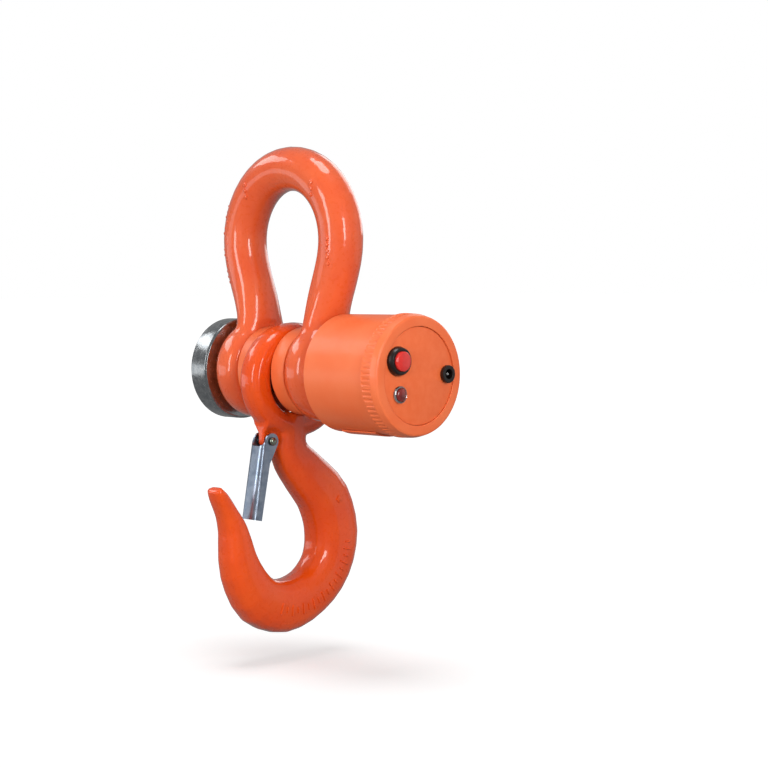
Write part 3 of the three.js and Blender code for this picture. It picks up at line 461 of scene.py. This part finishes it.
# Blank forging marks, with no lettering: one row of small pads on each shoulder of the bow and on
# its right leg, and trimmed flash down the left leg. Distances are from the pin
PAD = 2.8
PAD_GAP = 4.4
for row_x, row_z, pads in ((38, 129, 3), (-33, 130, 3), (54, 85, 5)):
    for index in range(pads):
        up = row_z + PAD_GAP * (index - (pads - 1) / 2)
        raise_mark(bow, bow_skin, (row_x, FRONT, up), (0, 1, 0), PAD, 45, PAD)
for step in range(16):
    side, up = -57 + 3 * math.sin(1.7 * step), 60 + 4 * step
    raise_mark(bow, bow_skin, (side, FRONT, up), (0, 1, 0), 1.8, 47 * step, 1.3, 0.45)
# The bow's paler enamel is a painted sheen, a lighter copy of the hook's enamel
keep("bow_forging", bow, ENAMELLED_BOW_PAINTED_SHEEN, "shackle", "enamelled_forging", "shackle_bow")

hook = forged("hook", 1.0, 6)
hook_skin = BVHTree.FromBMesh(hook)
# Raised spokes, long and short in turn, round the hook's bowl, and a small diamond above them
BOWL_Y, BOWL_Z, BOWL_R = -10, -122, 49.5
SPOKES = (8.5, 5)
DIAMOND = 4.5
for index, angle in enumerate(range(-108, 0, 6)):
    y = BOWL_Y + BOWL_R * math.cos(math.radians(angle))
    z = BOWL_Z + BOWL_R * math.sin(math.radians(angle))
    raise_mark(hook, hook_skin, (SIDE, y, z), (-1, 0, 0), SPOKES[index % 2], angle)
raise_mark(hook, hook_skin, (SIDE, 30.6, -95), (-1, 0, 0), DIAMOND, 45, DIAMOND)
keep("hook_forging", hook, ENAMELLED_FORGING, "hook", "enamelled_forging", "hook")

# ---- load pin and spacers --------------------------------------------------------------------

pin_low, pin_high = box_mm("load_pin")
HEAD_R = pin_high.y
HEAD_THICK = 17.9
PIN_R = 17.5
SPIGOT_R = 12
SPIGOT_LONG = 20
HEAD_CHAMFER = 1.2
SPIGOT_CHAMFER = 1
CENTRE_HOLE = 1.5  # the lathe's centre in the head

head_in = pin_low.x + HEAD_THICK
pin = spun([
    (0, pin_low.x + CENTRE_HOLE), (CENTRE_HOLE, pin_low.x), (HEAD_R - HEAD_CHAMFER, pin_low.x),
    (HEAD_R, pin_low.x + HEAD_CHAMFER), (HEAD_R, head_in - HEAD_CHAMFER),
    (HEAD_R - HEAD_CHAMFER, head_in), (PIN_R, head_in),
    (PIN_R, pin_high.x - SPIGOT_LONG), (SPIGOT_R, pin_high.x - SPIGOT_LONG),
    (SPIGOT_R, pin_high.x - SPIGOT_CHAMFER), (SPIGOT_R - SPIGOT_CHAMFER, pin_high.x), (0, pin_high.x),
])
keep("turned_load_pin", break_edges(pin, 0.35), ZINC_TURNED, "shackle", "zinc_steel", "load_pin")

for side in ("right", "left"):
    low, high = box_mm(f"spacer_{side}")
    inner = PIN_R + GAP
    ring = spun([(inner, low.x), (high.y, low.x), (high.y, high.x), (inner, high.x)], closed=True)
    keep(
        f"spacer_ring_{side}", break_edges(ring, 0.7, 4), POWDER_COAT, "shackle", "coated_metal",
        f"spacer_{side}",
    )

# ---- housing ---------------------------------------------------------------------------------

house_low, house_high = box_mm("housing")
ring_low, ring_high = box_mm("union_ring")
face_low, face_high = box_mm("face_plate")
HOUSE_R = house_high.y
HOUSE_EDGE = 1.5
HOUSE_FLOOR = 6
HOUSE_BORE_R = HOUSE_R - 7.2
THREAD_R = HOUSE_R - 4.2
THREAD_PITCH = 1.5
THREAD_DEEP = 0.5
SPIGOT_HOLE_R = SPIGOT_R + GAP
LIP_R = 33.5
LIP_DEEP = 3.4
shoulder = ring_low.x - GAP

# The thread under the union ring is drawn as closed grooves, not as a helix
housing = [
    (SPIGOT_HOLE_R, house_low.x), (HOUSE_R - HOUSE_EDGE, house_low.x), (HOUSE_R, house_low.x + HOUSE_EDGE),
    (HOUSE_R, shoulder), (THREAD_R, shoulder),
]
x = shoulder + 1.2
while x + THREAD_PITCH < house_high.x:
    housing += [
        (THREAD_R, x), (THREAD_R - THREAD_DEEP, x + THREAD_PITCH / 2 - 0.15),
        (THREAD_R - THREAD_DEEP, x + THREAD_PITCH / 2 + 0.15),
    ]
    x += THREAD_PITCH
housing += [
    (THREAD_R, x), (THREAD_R, house_high.x), (HOUSE_BORE_R, house_high.x),
    (HOUSE_BORE_R, house_low.x + HOUSE_FLOOR), (SPIGOT_HOLE_R, house_low.x + HOUSE_FLOOR),
]
keep(
    "housing_shell", spun(housing, closed=True), POWDER_COAT, "shackle", "coated_metal", "housing",
)

# The union ring has flutes round its back part, one for every four steps
FLUTES = 72
FLUTE_DEEP = 0.6
FLUTE_LONG = 8.6
ring_r = ring_high.y
front_r = ring_r - 1.3
ring = spun([
    (THREAD_R + GAP, ring_low.x), (ring_r - 0.5, ring_low.x), (ring_r, ring_low.x + 0.5),
    (ring_r, ring_low.x + 1.6), (ring_r, ring_low.x + 2.2), (ring_r - 0.3, ring_low.x + FLUTE_LONG),
    (ring_r - 0.35, ring_low.x + FLUTE_LONG + 0.7), (front_r, ring_high.x - 1.8),
    (front_r - 0.4, ring_high.x - 0.8), (front_r - 1.1, ring_high.x - 0.25),
    (front_r - 2, ring_high.x), (LIP_R + 0.3, ring_high.x), (LIP_R, ring_high.x - 0.3),
    (LIP_R, ring_high.x - LIP_DEEP), (THREAD_R + GAP, ring_high.x - LIP_DEEP),
], steps=FLUTES * 4, closed=True)
for vert in ring.verts:
    along = vert.co.x / MM - ring_low.x
    spoke = Vector((0, vert.co.y - PIN.y, vert.co.z - PIN.z))
    around = math.atan2(spoke.z, spoke.y) / (2 * math.pi) * FLUTES
    if 1.9 < along < FLUTE_LONG + 0.2 and spoke.length > (ring_r - 1) * MM and around % 1 < 0.45:
        vert.co -= spoke.normalized() * FLUTE_DEEP * MM
keep("union_collar", ring, POWDER_COAT, "ring", "coated_metal", "union_ring")

flange_r = face_high.y
FLANGE_THICK = 2.6
BUTTON_HOLE_R, LED_HOLE_R, SOCKET_HOLE_R = 8, 4, 5.2
face = spun([
    (0, face_low.x), (flange_r, face_low.x), (flange_r, face_low.x + FLANGE_THICK),
    (LIP_R - GAP, face_low.x + FLANGE_THICK), (LIP_R - GAP, face_high.x), (0, face_high.x),
])
holes = [
    (middle("button_bezel"), BUTTON_HOLE_R), (middle("led_bezel"), LED_HOLE_R),
    (middle("socket_body"), SOCKET_HOLE_R),
]
face = bored(break_edges(face, 0.3, 2), holes)
keep("face_disc", face, FACE_ABS, "face", "moulded_cover", "face_plate")

# ---- panel controls --------------------------------------------------------------------------

base_low, base_high = box_mm("button_bezel")
button_at = middle("button_bezel")
bezel_r = base_high.y - button_at.y / MM
cap_low, cap_high = box_mm("button_cap")
cap_r = cap_high.y - button_at.y / MM
collar_x = base_high.x - 4.6
bezel = spun([
    (0, base_low.x), (7.7, base_low.x), (7.7, collar_x), (bezel_r, collar_x), (bezel_r, collar_x + 1),
    (bezel_r - 1.0, base_high.x - 0.5), (bezel_r - 1.5, base_high.x), (cap_r + 0.25, base_high.x),
    (cap_r + 0.25, cap_low.x - 8), (0, cap_low.x - 8),
], button_at, SMALL_STEPS)
keep("button_collar", break_edges(bezel, 0.25, 2), NYLON_BLACK, "face", "black_plastic", "button_bezel")

rim = cap_high.x - 1.6
dome = [(cap_r * math.cos(math.radians(a)), rim + 1.6 * math.sin(math.radians(a))) for a in range(0, 90, 10)]
cap = spun([(0, cap_low.x), (cap_r, cap_low.x), *dome, (0, cap_high.x)], button_at, SMALL_STEPS)
keep("button_dome", cap, ACRYLIC_RED, "button", "red_plastic", "button_cap")

led_low, led_high = box_mm("led_bezel")
led_at = middle("led_bezel")
led_r = led_high.y - led_at.y / MM
lens_low, lens_high = box_mm("led_lens")
lens_r = lens_high.y - led_at.y / MM
led_foot = led_high.x - 1.8
led_ring = spun([
    (0, led_low.x), (3.7, led_low.x), (3.7, led_foot), (led_r, led_foot), (led_r, led_foot + 0.6),
    (led_r - 0.5, led_high.x - 0.3), (led_r - 1.0, led_high.x), (lens_r + 0.3, led_high.x - 0.4),
    (lens_r + 0.3, lens_low.x - 0.3), (0, lens_low.x - 0.3),
], led_at, SMALL_STEPS)
keep("indicator_ring", break_edges(led_ring, 0.12, 2), CHROME, "face", "bright_metal", "led_bezel")

lens_rim = lens_high.x - 1.8
bulb = [
    (lens_r * math.cos(math.radians(a)), lens_rim + 1.8 * math.sin(math.radians(a)))
    for a in range(0, 90, 10)
]
lens = spun([(0, lens_low.x), (lens_r, lens_low.x), *bulb, (0, lens_high.x)], led_at, SMALL_STEPS)
keep("indicator_lens", lens, POLYCARBONATE_RED, "face", "red_lens", "led_lens")

sock_low, sock_high = box_mm("socket_body")
sock_at = middle("socket_body")
sock_r = sock_high.y - sock_at.y / MM
sock_foot = sock_high.x - 2.6
socket = spun([
    (0, sock_low.x), (4.9, sock_low.x), (4.9, sock_foot), (sock_r, sock_foot),
    (sock_r, sock_high.x), (3.4, sock_high.x), (3.4, sock_high.x - 10), (0, sock_high.x - 10),
], sock_at, SMALL_STEPS)
keep("charging_socket", break_edges(socket, 0.4, 3), NYLON_BLACK, "face", "black_plastic", "socket_body")

prong_low, prong_high = box_mm("socket_pin")
prong_r = prong_high.y - sock_at.y / MM
prong = spun([
    (0, prong_low.x), (prong_r, prong_low.x), (prong_r, prong_high.x - 0.5),
    (prong_r * 0.5, prong_high.x), (0, prong_high.x),
], sock_at, 32)
keep("socket_prong", prong, CHROME, "face", "bright_metal", "socket_pin")

# ---- safety latch ----------------------------------------------------------------------------

LATCH_LEAN = 11.5
LATCH_HALF_X = 7.85
LATCH_SHEET = 1.4
LATCH_FRONT = -8.7
LATCH_BACK = 0.9
LATCH_TOP = -4.7
LATCH_BOTTOM = -57
EAR_R = 5.8
BEND_R = 4.8


def channel():
    """A pressed strip: a web between two cheeks, each with a round ear over the latch's pin.

    The outline runs along the middle of the sheet, but the wall grows inwards from it. So the
    strip ends half a sheet inside LATCH_HALF_X on each side, and its ears are not bored.
    """
    bm = bmesh.new()
    half = (LATCH_HALF_X - LATCH_SHEET / 2) * MM
    front = (LATCH_FRONT + LATCH_SHEET / 2) * MM
    ear = [
        (EAR_R * math.cos(math.radians(a)) * MM, EAR_R * math.sin(math.radians(a)) * MM)
        for a in range(-10, 180, 10)
    ]
    for side in (-1, 1):
        outline = [
            (front, LATCH_BOTTOM * MM), (LATCH_BACK * MM, LATCH_BOTTOM * MM), (LATCH_BACK * MM, -16 * MM),
            *ear, (front, LATCH_TOP * MM),
        ]
        verts = [bm.verts.new((side * half, y, z)) for y, z in outline]
        bm.faces.new(verts if side > 0 else verts[::-1])
        if side < 0:
            first, last = verts[0], verts[-1]
        else:
            bm.faces.new((first, verts[0], verts[-1], last))
    bmesh.ops.recalc_face_normals(bm, faces=bm.faces)
    folds = [e for e in bm.edges if len(e.link_faces) == 2]
    bmesh.ops.bevel(
        bm, geom=folds, offset=BEND_R * MM, affect="EDGES", segments=8, profile=0.5, material=-1,
    )
    bmesh.ops.triangulate(bm, faces=[f for f in bm.faces if len(f.verts) > 4])
    bmesh.ops.solidify(bm, geom=bm.faces, thickness=LATCH_SHEET * MM)
    return bm


latch = channel()
lean = Matrix.Rotation(-math.radians(LATCH_LEAN), 3, "X")
bmesh.ops.rotate(latch, verts=latch.verts, cent=(0, 0, 0), matrix=lean)
bmesh.ops.translate(latch, verts=latch.verts, vec=LATCH_PIVOT)
keep("latch_channel", latch, ZINC_PRESSED, "latch", "zinc_steel", "latch")

low, high = box_mm("latch_pin")
rivet = []
for angle in range(90, 0, -15):
    c, s = math.cos(math.radians(angle)), math.sin(math.radians(angle))
    rivet.append((3 * c, low.x + 2 - 2 * s))
rivet += [(3, low.x + 2), (2, low.x + 2)]
rivet += [(r, -x) for r, x in reversed(rivet)]
rivet[0], rivet[-1] = (0, low.x), (0, high.x)
keep(
    "latch_rivet", spun(rivet, LATCH_PIVOT, 48), ZINC_TINTED, "hook", "zinc_steel", "latch_pin",
)


def coiled(node, coil_r, wire_r, pitch, centre):
    """Round wire wound about a line along X, from one end of a CAD node's box to the other."""
    low, high = box_mm(node)
    start, end = low.x + wire_r, high.x - wire_r
    turns = (end - start) / pitch
    steps = round(turns * 28)
    bm = bmesh.new()
    bmesh.ops.create_circle(bm, segments=16, radius=wire_r * MM, cap_ends=True)
    spot = Vector((start * MM, centre.y + coil_r * MM, centre.z))
    bmesh.ops.translate(bm, verts=bm.verts, vec=spot)
    bmesh.ops.spin(
        bm, geom=bm.verts[:] + bm.edges[:] + bm.faces[:], cent=(0, centre.y, centre.z), axis=(1, 0, 0),
        dvec=((end - start) / steps * MM, 0, 0), angle=2 * math.pi * turns, steps=steps,
    )
    return bm


keep(
    "latch_coil", coiled("latch_spring", 3.1, 0.4, 1.1, LATCH_PIVOT), SPRING_WIRE, "hook",
    "spring_steel", "latch_spring",
)

# ---- parts that keep their CAD shape ---------------------------------------------------------

KEPT = {
    "housing_seal": NITRILE, "face_gasket": NITRILE, "gauge_core": POTTING, "rating_plate": POWDER_COAT,
    "gauge_lead": LEAD_SLEEVE, "circuit_board": LAMINATE, "button_spring": SPRING_WIRE,
    "board_connector": DISPLAY_BLACK, "battery_tray": DISPLAY_BLACK, "antenna": DISPLAY_BLACK,
    "radio_module": MACHINED_STEEL,
}
for node in frame["nodes"]:
    if node.startswith("battery_cell"):
        KEPT[node] = CELL_SLEEVE
    if node.startswith(("board_pillar", "board_screw")) or node.endswith(("_nut", "_washer")):
        KEPT[node] = MACHINED_STEEL
for node, material in KEPT.items():
    mesh = frame["nodes"][node].data
    mesh.materials.clear()
    mesh.materials.append(material)

# ---- floor and surroundings ------------------------------------------------------------------

floor_z = cad_box[0].z - FLOOR_DROP * MM
sheet = bmesh.new()
bmesh.ops.create_grid(sheet, x_segments=1, y_segments=1, size=30)
bmesh.ops.translate(sheet, verts=sheet.verts, vec=(0, 0, floor_z))
floor_mesh = bpy.data.meshes.new("studio_floor")
sheet.to_mesh(floor_mesh)
sheet.free()
# Plain white paper, with an even glow that keeps it near white
PAPER = surface("matt_white_paper", {
    "Base Color": (0.85, 0.85, 0.85, 1), "Specular IOR Level": 0,
    "Emission Color": (1, 1, 1, 1), "Emission Strength": 0.52,
}, 1.0)[0]
floor_mesh.materials.append(PAPER)
floor = bpy.data.objects.new("studio_floor", floor_mesh)
scene.collection.objects.link(floor)
floor.visible_diffuse = False
floor.visible_glossy = False
# The softboxes light the scale alone: its shadow on the paper comes from overhead and the room
paper_roll = bpy.data.collections.new("paper_roll")
paper_roll.objects.link(floor)
paper_roll.collection_objects[0].light_linking.link_state = "EXCLUDE"
for lamp in softboxes:
    lamp.light_linking.receiver_collection = paper_roll

world = bpy.data.worlds.new("studio")
scene.world = world
world.use_nodes = True
air = world.node_tree
air.nodes.clear()
aim = add(air, "ShaderNodeTexCoord").outputs["Generated"]
height = add(air, "ShaderNodeSeparateXYZ", {0: aim}).outputs["Z"]
room = spread(air, height, -0.6, 0.6, 0.24, 0.34)
seen = add(air, "ShaderNodeLightPath").outputs["Is Camera Ray"]
dim = add(air, "ShaderNodeBackground", {"Color": (1, 1, 1, 1), "Strength": room})
bright = add(air, "ShaderNodeBackground", {"Color": (1, 1, 1, 1), "Strength": 1.0})
pick = add(air, "ShaderNodeMixShader", {0: seen, 1: dim.outputs[0], 2: bright.outputs[0]})
add(air, "ShaderNodeOutputWorld", {"Surface": pick.outputs[0]})
